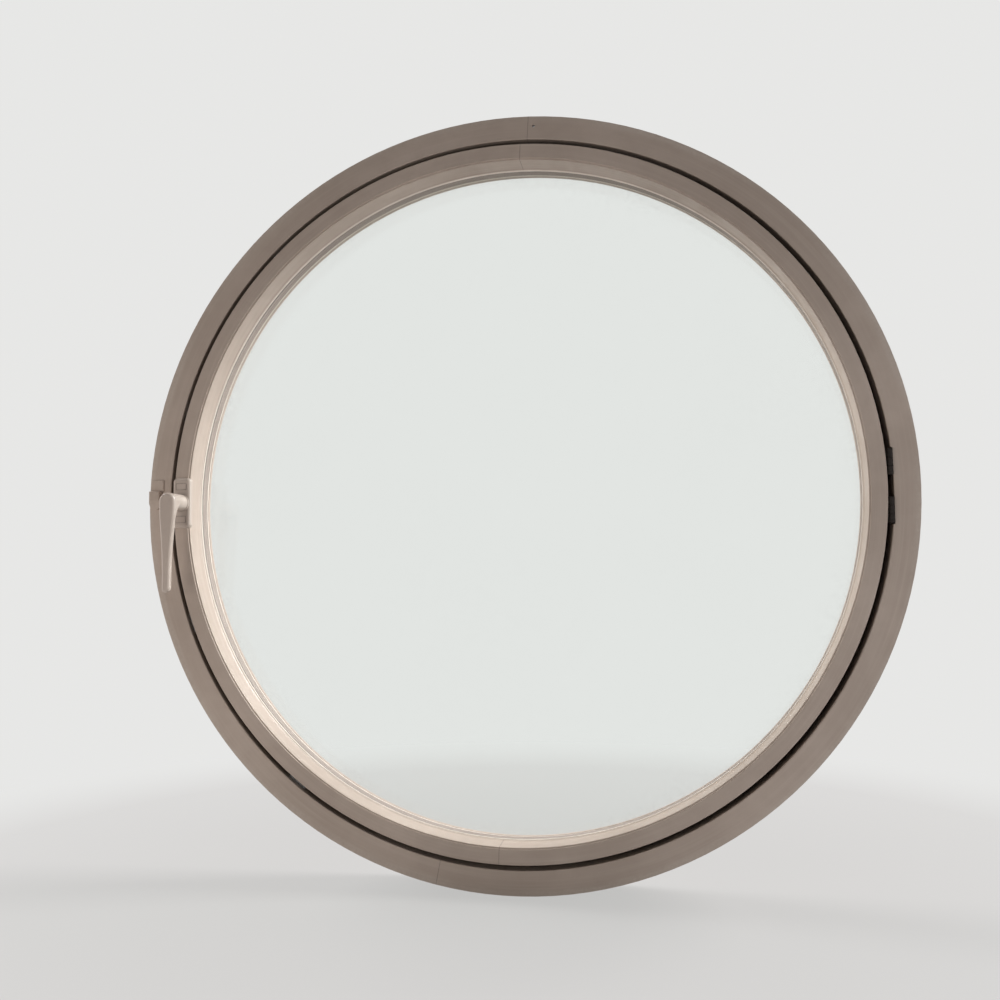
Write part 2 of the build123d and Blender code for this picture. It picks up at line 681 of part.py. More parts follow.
def pad_groove():
    """Shadow groove round a cover pad."""
    outer = RectangleRounded(PAD_WIDTH + PAD_GROOVE, PAD_HEIGHT + PAD_GROOVE, PAD_CORNER + PAD_GROOVE / 2)
    inner = RectangleRounded(PAD_WIDTH - PAD_GROOVE, PAD_HEIGHT - PAD_GROOVE, PAD_CORNER - PAD_GROOVE / 2)
    return outer - inner


def make_base():
    """Handle's base: slim plate with rounded edges, two outlined cover pads and a raised collar."""
    base = slab(BASE_TOP, FACE_Y, RectangleRounded(BASE_WIDTH, BASE_HEIGHT, BASE_CORNER), HANDLE_X)
    base = fillet(room_face_edges(base), BASE_ROUND)
    for z in (-PAD_CENTRE, PAD_CENTRE):
        base -= slab(BASE_TOP, BASE_TOP + PAD_GROOVE_DEPTH, pad_groove(), HANDLE_X, z)
    base += slab(BASE_TOP - COLLAR_RISE, BASE_TOP, Circle(BOSS_R + COLLAR_MARGIN), HANDLE_X)
    base -= slab(BASE_TOP - COLLAR_RISE, FACE_Y, Circle(SPINDLE_HOLE_R), HANDLE_X)
    for hole in base_screws(SCREW_PLAY):
        base -= hole
    return base


def lever_outline():
    """Lever as seen from the room: round over the boss, then narrowing in a soft curve to a round tip."""
    tip = LEVER_TIP_WIDTH / 2
    end = tip - LEVER_LENGTH
    down = (0, -1)
    sides = [Spline((side * BOSS_R, 0), (side * LEVER_MIDDLE_WIDTH / 2, -LEVER_MIDDLE), (side * tip, end),
                    tangents=(down, down)) for side in (-1, 1)]
    top = ThreePointArc((-BOSS_R, 0), (0, BOSS_R), (BOSS_R, 0))
    bottom = ThreePointArc((-tip, end), (0, -LEVER_LENGTH), (tip, end))
    return make_face([*sides, top, bottom])


def neck_outline():
    """Lever as seen from its side, as (depth, height): flat blade that curves out below the boss."""
    back = LEVER_BACK + NECK_REACH
    curve = TangentArc((LEVER_BACK, -NECK_DROP), (back, 0), tangent=(0, 1))
    rest = Polyline((back, 0), (back, BOSS_R), (LEVER_FRONT, BOSS_R), (LEVER_FRONT, -LEVER_LENGTH),
                    (LEVER_BACK, -LEVER_LENGTH), (LEVER_BACK, -NECK_DROP))
    return make_face([curve, rest])


def make_lever():
    """Lever: round boss that flows through a curved neck into a hanging blade, rounded for the hand."""
    blade = slab(LEVER_FRONT, LEVER_BACK + NECK_REACH, lever_outline(), HANDLE_X)
    blade &= extrude(Plane.YZ.offset(HANDLE_X) * neck_outline(), BOSS_R, both=True)
    blade = fillet(room_face_edges(blade), LEVER_FRONT_ROUND)
    back_face = blade.faces().filter_by(Plane.XZ).sort_by(Axis.Z)[0]
    blade = fillet(back_face.edges(), LEVER_BACK_ROUND)
    lever = blade + slab(LEVER_BACK, BOSS_START, Circle(BOSS_R), HANDLE_X)
    return lever - slab(BOSS_START - SPINDLE_SOCKET, BOSS_START, spindle_socket(), HANDLE_X)


def make_spindle():
    """Square spindle from the lever's boss through the base and the sash into the toothed sector."""
    start = BOSS_START - SPINDLE_SOCKET + SPINDLE_END_GAP
    return slab(start, CASE_END - HUB_SHORT, Rectangle(SPINDLE_SIDE, SPINDLE_SIDE), HANDLE_X)


def build_frame():
    """The fixed frame and all that is fastened to it."""
    save("frame_right", make_frame_right())
    save("frame_left", make_frame_left())
    sleeve = frame_chambers(JOINER_PLAY)[0]
    save("frame_joiner_top", joiner(sleeve, FRAME_SEAM_TOP))
    save("frame_joiner_bottom", joiner(sleeve, FRAME_SEAM_BOTTOM))
    save("frame_seal", make_stop_seal())
    for number, cam in enumerate(CAM_ANGLES, 1):
        save(f"keep_{number}", make_keep(cam))
    save("keep_screws", Compound(children=[screw for cam in CAM_ANGLES for screw in keep_screws(cam)]))
    save("lug", make_lug())
    save("lug_screw", lug_screw())


def build_sash():
    """The swinging sash, its glass unit and what is fastened to it."""
    save("sash_right", make_sash_right())
    save("sash_left", make_sash_left())
    sleeve = sash_chamber(JOINER_PLAY)
    save("sash_joiner_top", joiner(sleeve, SASH_SEAM_TOP))
    save("sash_joiner_bottom", joiner(sleeve, SASH_SEAM_BOTTOM))
    save("pane_inner", make_pane(GLASS_START))
    save("pane_outer", make_pane(GLASS_END - PANE))
    spacer_outer = GLASS_R - SEALANT_WIDTH
    cavity = (GLASS_START + PANE, GLASS_END - PANE)
    save("spacer_bar", swept(block(spacer_outer - SPACER_WIDTH, spacer_outer, *cavity)))
    save("edge_sealant", swept(block(spacer_outer, GLASS_R - SEALANT_SETBACK, *cavity)))
    save("glass_seal_inner", make_inner_seal())
    save("glass_seal_outer", make_outer_seal())
    save("glass_packers", make_packers())
    save("bead_right", make_bead(SASH_SEAM_BOTTOM - FULL, SASH_SEAM_TOP))
    save("bead_left", make_bead(SASH_SEAM_TOP, SASH_SEAM_BOTTOM))
    save("gearbox_case", make_case())
    save("handle_base", make_base())
    save("handle_screws", Compound(children=base_screws()))


def build_hinges():
    """Two hinges: frame leaf and pin stay with the frame, sash leaf swings."""
    for name, centre in zip(("lower", "upper"), hinge_centres()):
        save(f"hinge_{name}_frame_leaf", make_frame_leaf(centre))
        save(f"hinge_{name}_sash_leaf", make_sash_leaf(centre))
        save(f"hinge_{name}_pin", make_hinge_pin(centre))
    for name, side in (("frame", 1), ("sash", -1)):
        screws = [screw for centre in hinge_centres() for screw in leaf_screws(centre, side)]
        save(f"hinge_screws_{name}", Compound(children=screws))


def build_handle():
    """What turns with the lever, and the rail that it drives."""
    save("handle_lever", make_lever())
    save("spindle", make_spindle())
    save("pinion", make_pinion())
    save("drive_rail", make_rail())
    for number, angle in enumerate(CAM_ANGLES, 1):
        save(f"cam_{number}", make_cam(angle))


os.makedirs("parts", exist_ok=True)
build_frame()
build_sash()
build_hinges()
build_handle()
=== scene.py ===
import json
import math
from collections import namedtuple

import bmesh
import bpy
import numpy as np
from mathutils import Matrix, Vector

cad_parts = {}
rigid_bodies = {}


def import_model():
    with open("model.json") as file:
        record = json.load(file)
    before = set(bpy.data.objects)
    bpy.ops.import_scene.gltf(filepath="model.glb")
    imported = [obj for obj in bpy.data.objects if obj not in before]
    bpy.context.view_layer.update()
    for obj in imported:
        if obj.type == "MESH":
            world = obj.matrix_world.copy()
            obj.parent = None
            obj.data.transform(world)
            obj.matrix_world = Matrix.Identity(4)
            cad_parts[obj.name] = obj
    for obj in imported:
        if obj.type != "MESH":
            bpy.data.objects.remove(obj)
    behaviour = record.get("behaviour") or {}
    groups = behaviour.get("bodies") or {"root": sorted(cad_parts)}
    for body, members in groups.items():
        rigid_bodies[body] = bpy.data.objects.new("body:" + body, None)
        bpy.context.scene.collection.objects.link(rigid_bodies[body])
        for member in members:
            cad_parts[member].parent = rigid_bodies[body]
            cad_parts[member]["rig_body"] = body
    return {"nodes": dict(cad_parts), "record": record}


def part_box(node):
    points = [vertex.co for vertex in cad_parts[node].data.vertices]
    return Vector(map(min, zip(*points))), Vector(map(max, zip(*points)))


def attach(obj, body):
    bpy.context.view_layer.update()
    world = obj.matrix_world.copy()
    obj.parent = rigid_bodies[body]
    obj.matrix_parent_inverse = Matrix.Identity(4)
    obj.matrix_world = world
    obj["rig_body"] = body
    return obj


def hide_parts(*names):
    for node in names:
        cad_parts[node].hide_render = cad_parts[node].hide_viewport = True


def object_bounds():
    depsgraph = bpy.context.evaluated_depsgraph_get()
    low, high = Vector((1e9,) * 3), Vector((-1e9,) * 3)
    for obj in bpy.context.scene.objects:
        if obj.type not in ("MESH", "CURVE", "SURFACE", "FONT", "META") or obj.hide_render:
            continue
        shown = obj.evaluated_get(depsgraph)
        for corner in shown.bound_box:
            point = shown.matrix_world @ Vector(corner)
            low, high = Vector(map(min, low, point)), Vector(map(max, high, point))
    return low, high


# Dressed round window: finishes for the CAD pieces, spacer ring, recessed screws, floor, light and camera.
# Metres, in the CAD frame: X right, Y outdoors, Z up, the origin in the centre of the ring.

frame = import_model()
cad_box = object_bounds()
nodes = frame["nodes"]
slots = {part["node"]: part["material_slot"] for part in frame["record"]["subparts"]}

# Camera
CAMERA_PLACE = (0.226, -1.224, -0.100)
CAMERA_YAW = math.radians(10.89)
CAMERA_PITCH = math.radians(4.33)
CAMERA_ROLL = math.radians(0.581)
FOCAL_LENGTH = 36.0
SENSOR = 36.0

# Backdrop, the even light all round, and the daylight's aim and colour
BACKDROP = (0.80, 0.80, 0.79, 1.0)
AMBIENT = (1.0, 0.93, 0.885, 1.0)
AMBIENT_STRENGTH = 0.06
CENTRE = (0.0, 0.0, 0.0)
DAYLIGHT = (1.0, 0.965, 0.985)

# Floor: its matt colour, its even tone and that tone's share, its size, and where it fades to the backdrop
FLOOR_COLOUR = (0.28, 0.276, 0.268, 1.0)
FLOOR_TONE = (0.735, 0.732, 0.72, 1.0)
FLOOR_EVENNESS = 0.70
FLOOR_SIZE = 24.0
FLOOR_FADE_START = 0.25
FLOOR_FADE_END = 1.15

# Ring measures taken from the CAD nodes
SASH_R = (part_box("sash_right")[1].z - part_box("sash_left")[0].z) / 2
FRAME_R = (cad_box[1].z - cad_box[0].z) / 2
SPACER_LOW, SPACER_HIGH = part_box("spacer_bar")
SPACER_R = SPACER_HIGH.z
SEAL_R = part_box("glass_seal_inner")[1].z

# Butt seams, in degrees anticlockwise from three o'clock as seen from the room
FRAME_SEAMS = (86.2, 258.8)
SASH_SEAMS = (87.2, 268.1)

# Line of a seam: half its width, the share of it that is full, its colour and how strongly that shows
SEAM_HALF_WIDTH = 0.0006
SEAM_CORE = 0.4
SEAM_TONE = (0.13, 0.10, 0.085, 1.0)
SEAM_SHARE = 0.55

# Powder coat of the profiles, in linear colours
COAT_DEEP = (0.395, 0.320, 0.268, 1.0)
COAT_PALE = (0.470, 0.387, 0.328, 1.0)
COAT_SHADE = (0.37, 0.297, 0.247, 1.0)
COAT_RUBBED = (0.53, 0.450, 0.392, 1.0)

# Painted shade in the gap: how near other surfaces have to be, how strongly it shows, and the radii where it
# comes in
GAP_SHADE_TONE = (0.055, 0.042, 0.034, 1.0)
GAP_SHADE_REACH = 0.018
GAP_SHADE_SHARE = 0.6
GAP_SHADE_START_R = SASH_R - 0.0020
GAP_SHADE_FULL_R = SASH_R - 0.0006

# Dust on the frame's rim: how strongly it shows, and how far inwards it thins out
DUST_TONE = (0.56, 0.50, 0.44, 1.0)
DUST_SHARE = 0.42
DUST_REACH = 0.020

# Handle, in linear colours, and how near other surfaces have to be where painted shade darkens it
HANDLE_DEEP = (0.44, 0.366, 0.315, 1.0)
HANDLE_PALE = (0.51, 0.434, 0.378, 1.0)
HANDLE_SHADE = (0.38, 0.312, 0.265, 1.0)
HANDLE_CREASE_SHADE_TONE = (0.13, 0.105, 0.09, 1.0)
HANDLE_CREASE_SHADE_REACH = 0.004

# Glass: tints, refraction, and the radii where its film of dust starts and is full
GLASS_TINT = (0.975, 0.99, 0.982, 1.0)
GLASS_SHADOW_TINT = (0.955, 0.968, 0.96, 1.0)
GLASS_DUST_TONE = (0.62, 0.60, 0.57, 1.0)
GLASS_IOR = 1.45
GLASS_DUST_START_R = SEAL_R - 0.045
GLASS_DUST_FULL_R = SEAL_R - 0.008

# Spacer ring: height of its section, clearance to the panes, edge bevel, middle groove, steps round the ring
SPACER_HEIGHT = 0.006
PANE_CLEARANCE = 0.00008
SPACER_BEVEL = 0.0007
SPACER_GROOVE = 0.0012
SPACER_GROOVE_SINK = 0.00025
RING_STEPS = 360

# Spacer's finish and its row of holes: their spacing, the radii where one fades in and is full, how it shows
SPACER_DEEP = (0.265, 0.222, 0.194, 1.0)
SPACER_PALE = (0.325, 0.276, 0.244, 1.0)
HOLE_PITCH = 0.0035
HOLE_R = 0.0006
HOLE_CORE_R = 0.0003
HOLE_TONE = (0.06, 0.052, 0.046, 1.0)
HOLE_SHARE = 0.8

# Smaller finishes, in linear colours; a metal's worn spots keep this share of its deeper colour
PACKER_DEEP = (0.20, 0.24, 0.31, 1.0)
PACKER_PALE = (0.26, 0.30, 0.37, 1.0)
# the hinges' dark tones are a painted shade, as dark as the gap around them
HINGE_DEEP = (0.022, 0.018, 0.016, 1.0)
HINGE_PALE = (0.036, 0.030, 0.027, 1.0)
WORN_SHARE = 0.6

# Small countersunk screws: depth of the head, bevel of its rim, and the tip's share of the shank's radius
SCREW_HEAD_DEPTH = 0.0008
SCREW_RIM = 0.00012
SCREW_TIP_SHARE = 0.35

# Cross recess: depth, arms in head radii, the bottom's share of the top's size, and the parts of each side
RECESS_DEPTH = 0.0009
RECESS_LENGTH = 0.60
RECESS_HALF_WIDTH = 0.17
RECESS_TAPER = 0.55
RECESS_SPLITS = 4

# Mesh work: angle from which an edge is sharp, and the distance at which points are the same
SHARP_ANGLE = math.radians(30)
SAME_POINT = 1e-6

Place = namedtuple("Place", "point x y radius angle")


class Tree:
    """Adds nodes to the tree of a material or world and links them."""

    def __init__(self, owner, output):
        owner.use_nodes = True
        self.owner = owner
        self.tree = owner.node_tree
        self.tree.nodes.clear()
        self.output = self.tree.nodes.new(output)

    def node(self, kind, inputs=None, **settings):
        made = self.tree.nodes.new(kind)
        for name, value in settings.items():
            setattr(made, name, value)
        for key, value in (inputs or {}).items():
            self.put(made.inputs[key], value)
        return made

    def put(self, socket, value):
        if isinstance(value, bpy.types.NodeSocket):
            self.tree.links.new(value, socket)
        else:
            socket.default_value = value

    def math(self, operation, a, b=0.0):
        return self.node("ShaderNodeMath", {0: a, 1: b}, operation=operation).outputs[0]

    def length(self, a, b):
        """Length of the vector with the sides a and b."""
        squares = self.math("ADD", self.math("MULTIPLY", a, a), self.math("MULTIPLY", b, b))
        return self.math("SQRT", squares)

    def noise(self, vector, scale, detail, roughness):
        made = self.node("ShaderNodeTexNoise", {"Vector": vector, "Scale": scale, "Detail": detail,
                                                "Roughness": roughness})
        return made.outputs["Fac"]

    def ramp(self, value, low, high, to_low=0.0, to_high=1.0):
        """A smooth step from to_low at low to to_high at high."""
        made = self.node("ShaderNodeMapRange", {"Value": value, "From Min": low, "From Max": high,
                                                "To Min": to_low, "To Max": to_high},
                         interpolation_type="SMOOTHSTEP")
        return made.outputs["Result"]

    def mix(self, factor, a, b):
        """Colour a, or b where the factor is 1, through the node's colour sockets: 6 and 7 in, 2 out."""
        return self.node("ShaderNodeMix", {0: factor, 6: a, 7: b}, data_type="RGBA").outputs[2]

    def bump(self, height, strength, distance):
        made = self.node("ShaderNodeBump", {"Height": height, "Strength": strength, "Distance": distance})
        return made.outputs["Normal"]

    def openness(self, distance, samples):
        """1 in the open, less where other surfaces are within the distance."""
        made = self.node("ShaderNodeAmbientOcclusion", {"Distance": distance}, samples=samples)
        return made.outputs["AO"]

    def seen(self):
        """1 for rays that show a background: from the camera, in a mirror or through glass."""
        path = self.node("ShaderNodeLightPath").outputs
        mirrored = self.math("MAXIMUM", path["Is Camera Ray"], path["Is Glossy Ray"])
        return self.math("MAXIMUM", mirrored, path["Is Transmission Ray"])

    def either(self, share, first, second):
        """Shader node first, or second where the share is 1."""
        return self.node("ShaderNodeMixShader", {0: share, 1: first.outputs[0], 2: second.outputs[0]})

    def surface(self, shader):
        """Sets the tree's last shader node and gives back its material or world."""
        self.tree.links.new(shader.outputs[0], self.output.inputs["Surface"])
        return self.owner

    def principled(self, inputs):
        """Shader node for a coated, plain, metal or glass surface."""
        return self.node("ShaderNodeBsdfPrincipled", inputs)


def material_tree(name):
    """Empty tree of a new material."""
    return Tree(bpy.data.materials.new(name), "ShaderNodeOutputMaterial")


def find_place(tree):
    """The shaded point in its object's frame, with its x and y, and its radius and angle round the ring."""
    point = tree.node("ShaderNodeTexCoord").outputs["Object"]
    x, y, z = tree.node("ShaderNodeSeparateXYZ", {"Vector": point}).outputs
    return Place(point, x, y, tree.length(x, z), tree.math("ARCTAN2", z, x))


def along_ring(tree, place, stretch):
    """Coordinates for streaks that run round the ring: fine across it, long along it."""
    along = tree.math("MULTIPLY", place.angle, SASH_R / stretch)
    return tree.node("ShaderNodeCombineXYZ", {"X": place.radius, "Y": place.y, "Z": along}).outputs[0]


def seam_line(tree, place, seams):
    """1 on the butt seams, 0 elsewhere."""
    total = 0.0
    for seam in seams:
        turn = math.radians(seam if seam <= 180 else seam - 360)
        turned = tree.math("ABSOLUTE", tree.math("SUBTRACT", place.angle, turn))
        off = tree.math("MULTIPLY", turned, place.radius)
        line = tree.ramp(off, low=SEAM_HALF_WIDTH, high=SEAM_HALF_WIDTH * SEAM_CORE)
        total = tree.math("MAXIMUM", total, line)
    return total


def coat_colour(tree, place, mottle):
    """Warm stone white in large clouds, with small mottling and marks rubbed along the ring."""
    cloud = tree.noise(place.point, scale=5.0, detail=4.0, roughness=0.55)
    streak = tree.noise(along_ring(tree, place, stretch=60.0), scale=260.0, detail=4.0, roughness=0.6)
    colour = tree.mix(tree.ramp(cloud, low=0.36, high=0.66), COAT_DEEP, COAT_PALE)
    colour = tree.mix(tree.ramp(mottle, low=0.3, high=0.75, to_high=0.35), colour, COAT_SHADE)
    return tree.mix(tree.ramp(streak, low=0.42, high=0.72, to_high=0.30), colour, COAT_RUBBED)


def gap_painted_shade(tree, place, colour):
    """Painted shade in the gap between sash and frame, darkest where other surfaces are near."""
    # painted shade: the coat turns dark in the gap where other surfaces are near
    occlusion_shade = tree.ramp(tree.openness(GAP_SHADE_REACH, samples=8), low=0.40, high=0.16)
    in_gap = tree.ramp(place.radius, low=GAP_SHADE_START_R, high=GAP_SHADE_FULL_R, to_high=GAP_SHADE_SHARE)
    return tree.mix(tree.math("MULTIPLY", occlusion_shade, in_gap), colour, GAP_SHADE_TONE)


def rim_dust(tree, place, colour):
    """Pale dust that thickens towards the frame's outer rim."""
    film = tree.noise(along_ring(tree, place, stretch=7.0), scale=42.0, detail=6.0, roughness=0.66)
    reach = tree.ramp(place.radius, low=FRAME_R - DUST_REACH, high=FRAME_R, to_low=-0.30, to_high=0.16)
    dust = tree.ramp(tree.math("ADD", film, reach), low=0.46, high=0.72)
    fine = tree.noise(place.point, scale=240.0, detail=4.0, roughness=0.7)
    speckle = tree.ramp(fine, low=0.35, high=0.65, to_low=0.35)
    share = tree.math("MULTIPLY", tree.math("MULTIPLY", dust, speckle), DUST_SHARE)
    return tree.mix(share, colour, DUST_TONE)


def profile_coat(name, seams, dusty_rim):
    """Powder-coated profile with fine texture, handling marks, painted shade in the gap, dust and butt seams.
    """
    tree = material_tree(name)
    place = find_place(tree)
    mottle = tree.noise(place.point, scale=46.0, detail=5.0, roughness=0.6)
    colour = gap_painted_shade(tree, place, coat_colour(tree, place, mottle))
    if dusty_rim:
        colour = rim_dust(tree, place, colour)
    seam = seam_line(tree, place, seams)
    colour = tree.mix(tree.math("MULTIPLY", seam, SEAM_SHARE), colour, SEAM_TONE)
    peel = tree.noise(place.point, scale=620.0, detail=2.0, roughness=0.5)
    height = tree.math("SUBTRACT", tree.math("MULTIPLY", peel, 0.25), seam)
    return tree.surface(tree.principled({
        "Base Color": colour,
        "Roughness": tree.ramp(mottle, low=0.3, high=0.8, to_low=0.40, to_high=0.58),
        "Normal": tree.bump(height, strength=0.35, distance=0.0005),
        "Coat Weight": 0.12,
        "Coat Roughness": 0.35,
    }))


def handle_coat():
    """Handle: the same warm white, smoother, polished a little where hands rub it, with painted shade in its
    creases.
    """
    tree = material_tree("handle_coat")
    point = find_place(tree).point
    cloud = tree.noise(point, scale=14.0, detail=4.0, roughness=0.55)
    fine = tree.noise(point, scale=120.0, detail=4.0, roughness=0.6)
    colour = tree.mix(tree.ramp(cloud, low=0.35, high=0.7), HANDLE_DEEP, HANDLE_PALE)
    colour = tree.mix(tree.ramp(fine, low=0.45, high=0.75, to_high=0.25), colour, HANDLE_SHADE)
    # painted shade: the handle darkens in its creases, where other surfaces are near
    occlusion_shade = tree.ramp(tree.openness(HANDLE_CREASE_SHADE_REACH, samples=6), low=0.6, high=0.15, to_high=0.7)
    colour = tree.mix(occlusion_shade, colour, HANDLE_CREASE_SHADE_TONE)
    grain = tree.noise(point, scale=700.0, detail=2.0, roughness=0.5)
    return tree.surface(tree.principled({
        "Base Color": colour,
        "Roughness": tree.ramp(cloud, low=0.3, high=0.75, to_low=0.30, to_high=0.44),
        "Normal": tree.bump(grain, strength=0.16, distance=0.0003),
        "Coat Weight": 0.25,
        "Coat Roughness": 0.22,
    }))


def clear_glass():
    """Float glass that lets lamps through, with a thin uneven film of dust that gathers towards its edge."""
    tree = material_tree("clear_glass")
    place = find_place(tree)
    film = tree.noise(place.point, scale=7.0, detail=5.0, roughness=0.6)
    glass = tree.principled({
        "Base Color": GLASS_TINT,
        "Roughness": tree.ramp(film, low=0.4, high=0.8, to_high=0.012),
        "IOR": GLASS_IOR,
        "Transmission Weight": 1.0,
    })
    dust = tree.node("ShaderNodeBsdfDiffuse", {"Color": GLASS_DUST_TONE})
    edge = tree.ramp(place.radius, low=GLASS_DUST_START_R, high=GLASS_DUST_FULL_R, to_low=0.2)
    specks = tree.noise(place.point, scale=160.0, detail=4.0, roughness=0.7)
    fine = tree.ramp(specks, low=0.4, high=0.75)
    patches = tree.ramp(film, low=0.35, high=0.75, to_low=0.01, to_high=0.05)
    share = tree.math("MULTIPLY", tree.math("MULTIPLY", edge, fine), patches)
    clear = tree.node("ShaderNodeBsdfTransparent", {"Color": GLASS_SHADOW_TINT})
    path = tree.node("ShaderNodeLightPath").outputs
    through = tree.math("MAXIMUM", path["Is Shadow Ray"], path["Is Diffuse Ray"])
    return tree.surface(tree.either(through, tree.either(share, glass, dust), clear))


def spacer_hole(tree, place):
    """1 in the middle of each of the spacer's holes, 0 between them."""
    across = tree.math("ABSOLUTE", tree.math("SUBTRACT", place.y, (SPACER_LOW.y + SPACER_HIGH.y) / 2))
    steps = tree.math("FRACT", tree.math("MULTIPLY", place.angle, SASH_R / HOLE_PITCH))
    along = tree.math("MULTIPLY", tree.math("ABSOLUTE", tree.math("SUBTRACT", steps, 0.5)), HOLE_PITCH)
    return tree.ramp(tree.length(across, along), low=HOLE_R, high=HOLE_CORE_R, to_high=HOLE_SHARE)


def spacer_band():
    """Warm-edge spacer bar: matt stone grey, with its row of tiny holes."""
    tree = material_tree("spacer_band")
    place = find_place(tree)
    grain = tree.noise(along_ring(tree, place, stretch=50.0), scale=500.0, detail=3.0, roughness=0.6)
    colour = tree.mix(tree.ramp(grain, low=0.3, high=0.7), SPACER_DEEP, SPACER_PALE)
    return tree.surface(tree.principled({
        "Base Color": tree.mix(spacer_hole(tree, place), colour, HOLE_TONE),
        "Roughness": 0.62,
        "Normal": tree.bump(grain, strength=0.12, distance=0.0003),
    }))


def rubber(name, deep, pale, roughness, rib_strength):
    """Matt seal, faintly ribbed along its length."""
    tree = material_tree(name)
    place = find_place(tree)
    cloud = tree.noise(place.point, scale=30.0, detail=4.0, roughness=0.6)
    ribs = tree.noise(along_ring(tree, place, stretch=80.0), scale=1400.0, detail=2.0, roughness=0.5)
    return tree.surface(tree.principled({
        "Base Color": tree.mix(tree.ramp(cloud, low=0.35, high=0.7), deep, pale),
        "Roughness": roughness,
        "Normal": tree.bump(ribs, strength=rib_strength, distance=0.0003),
        "Specular IOR Level": 0.35,
    }))


def metal(name, deep, pale, smooth, rough, grain_scale=420.0):
    """Plated or mill metal: rolled grain, small spots and fingerprints in the shine."""
    tree = material_tree(name)
    point = find_place(tree).point
    stretched = tree.node("ShaderNodeMapping", {"Vector": point, "Scale": (1.0, 1.0, 0.08)}).outputs[0]
    lines = tree.noise(stretched, scale=grain_scale, detail=4.0, roughness=0.6)
    spots = tree.noise(point, scale=85.0, detail=5.0, roughness=0.65)
    worn = tuple(channel * WORN_SHARE for channel in deep[:3]) + (1.0,)
    colour = tree.mix(tree.ramp(lines, low=0.3, high=0.7), deep, pale)
    return tree.surface(tree.principled({
        "Base Color": tree.mix(tree.ramp(spots, low=0.56, high=0.72, to_high=0.35), colour, worn),
        "Roughness": tree.ramp(spots, low=0.3, high=0.75, to_low=smooth, to_high=rough),
        "Normal": tree.bump(lines, strength=0.15, distance=0.0002),
        "Metallic": 1.0,
    }))


def packer_plastic():
    """Moulded plastic packers, matt with fine moulded texture."""
    tree = material_tree("packer_plastic")
    fine = tree.noise(find_place(tree).point, scale=300.0, detail=3.0, roughness=0.6)
    return tree.surface(tree.principled({
        "Base Color": tree.mix(tree.ramp(fine, low=0.3, high=0.7), PACKER_DEEP, PACKER_PALE),
        "Roughness": 0.5,
        "Normal": tree.bump(fine, strength=0.2, distance=0.0003),
    }))


def hinge_gap_shade_paint():
    """Dull dark brown paint on the hinges in the gap, its tone a painted shade as dark as the gap so that
    they blend into it.
    """
    tree = material_tree("hinge_gap_shade_paint")
    fine = tree.noise(find_place(tree).point, scale=260.0, detail=4.0, roughness=0.6)
    return tree.surface(tree.principled({
        "Base Color": tree.mix(tree.ramp(fine, low=0.3, high=0.7), HINGE_DEEP, HINGE_PALE),
        "Roughness": 0.75,
        "Normal": tree.bump(fine, strength=0.2, distance=0.0002),
        "Specular IOR Level": 0.15,
    }))


def make_finishes():
    """A finish for each of the record's slots but the profile's, which has one for each body."""
    return {
        "sleeve": metal("mill_aluminium", deep=(0.55, 0.55, 0.56, 1.0), pale=(0.72, 0.72, 0.72, 1.0),
                        smooth=0.3, rough=0.45),
        "handle": handle_coat(),
        "glass": clear_glass(),
        "spacer": spacer_band(),
        "sealant": rubber("edge_sealant", deep=(0.02, 0.02, 0.02, 1.0), pale=(0.035, 0.033, 0.03, 1.0),
                          roughness=0.75, rib_strength=0.2),
        "pale_seal": rubber("pale_seal", deep=(0.70, 0.625, 0.555, 1.0), pale=(0.78, 0.705, 0.635, 1.0),
                            roughness=0.5, rib_strength=0.15),
        "dark_seal": rubber("dark_seal", deep=(0.018, 0.017, 0.016, 1.0), pale=(0.04, 0.036, 0.032, 1.0),
                            roughness=0.6, rib_strength=0.3),
        "packer": packer_plastic(),
        "lock_steel": metal("zinc_steel", deep=(0.42, 0.42, 0.43, 1.0), pale=(0.62, 0.61, 0.60, 1.0),
                            smooth=0.26, rough=0.42),
        "screws": metal("screw_steel", deep=(0.48, 0.47, 0.45, 1.0), pale=(0.66, 0.65, 0.63, 1.0),
                        smooth=0.24, rough=0.4, grain_scale=900.0),
        "hinge_metal": hinge_gap_shade_paint(),
    }


def wear(piece, finish):
    """Gives a piece its material."""
    piece.data.materials.clear()
    piece.data.materials.append(finish)


def finish_nodes(finishes):
    """A finish for every CAD node. The glass's outer seal shows pale behind the panes."""
    frame_coat = profile_coat("frame_coat", FRAME_SEAMS, dusty_rim=True)
    sash_coat = profile_coat("sash_coat", SASH_SEAMS, dusty_rim=False)
    for name, node in nodes.items():
        if slots[name] == "profile":
            wear(node, frame_coat if node["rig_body"] == "frame" else sash_coat)
        else:
            wear(node, finishes[slots[name]])
    wear(nodes["glass_seal_outer"], finishes["pale_seal"])


def meshed(name, points, faces):
    """Object of a mesh, its normals outward, smooth but for its sharp edges."""
    mesh = bpy.data.meshes.new(name)
    mesh.from_pydata(points, [], faces)
    work = bmesh.new()
    work.from_mesh(mesh)
    bmesh.ops.recalc_face_normals(work, faces=work.faces)
    work.to_mesh(mesh)
    work.free()
    mesh.polygons.foreach_set("use_smooth", [True] * len(mesh.polygons))
    mesh.set_sharp_from_angle(angle=SHARP_ANGLE)
    piece = bpy.data.objects.new(name, mesh)
    bpy.context.scene.collection.objects.link(piece)
    return piece


def stand_for(piece, node, finish):
    """The piece takes a CAD node's place and body: it wears the given finish and the node is hidden."""
    wear(piece, finish)
    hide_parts(node)
    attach(piece, nodes[node]["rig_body"])


def bridge(here, there, count):
    """Quads between two closed loops of points."""
    return [(here + i, here + (i + 1) % count, there + (i + 1) % count, there + i) for i in range(count)]


